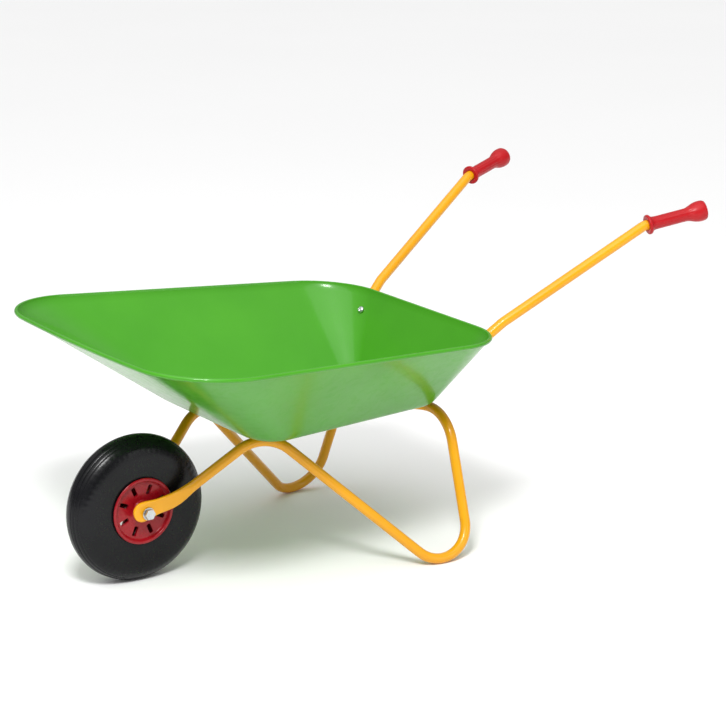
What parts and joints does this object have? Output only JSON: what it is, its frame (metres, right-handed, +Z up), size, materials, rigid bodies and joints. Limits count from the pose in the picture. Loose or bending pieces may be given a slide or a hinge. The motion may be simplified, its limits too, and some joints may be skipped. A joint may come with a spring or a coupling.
{
  "type": "wheelbarrow",
  "caption": "Child's metal wheelbarrow: pressed pan tray on bent tube side frames, separate handle tubes with plastic grips, and one freely turning wheel with a rubber tyre.",
  "frame": {"origin": "on the ground, under the middle of the bounding box", "axes": "+X back towards the grips, +Y to the user's right, +Z up"},
  "size_m": [0.8896, 0.506, 0.4615],
  "materials": {
    "green_paint": "gloss",
    "yellow_paint": "gloss",
    "grip_red": "satin",
    "hub_red": "gloss",
    "tyre_black": "matte",
    "tube_rubber": "matte",
    "zinc_steel": "satin",
    "bush_white": "satin"
  },
  "bodies": {
    "frame": {"tray": "green_paint", "side_frame_left": "yellow_paint", "handle_tube_left": "yellow_paint", "grip_left": "grip_red", "side_frame_right": "yellow_paint", "handle_tube_right": "yellow_paint", "grip_right": "grip_red", "frame_joining_spigot": "zinc_steel", "floor_screw_front_left": "zinc_steel", "floor_screw_front_right": "zinc_steel", "floor_screw_rear_left": "zinc_steel", "floor_screw_rear_right": "zinc_steel", "handle_screw_left": "zinc_steel", "handle_nut_left": "zinc_steel", "handle_screw_right": "zinc_steel", "handle_nut_right": "zinc_steel", "axle_spacer_left": "zinc_steel", "axle_washer_left": "zinc_steel", "axle_spacer_right": "zinc_steel", "axle_washer_right": "zinc_steel", "axle_bolt": "zinc_steel", "axle_nut": "zinc_steel"},
    "wheel": {"tyre": "tyre_black", "inner_tube": "tube_rubber", "tube_valve": "zinc_steel", "wheel_rim_left": "hub_red", "hub_bush_left": "bush_white", "wheel_rim_right": "hub_red", "hub_bush_right": "bush_white"}
  },
  "joints": [
    {"name": "wheel_spin", "type": "hinge", "parent": "frame", "child": "wheel", "pos_m": [-0.3448, 0, 0.1], "axis": [0, 1, 0], "continuous": true}
  ]
}
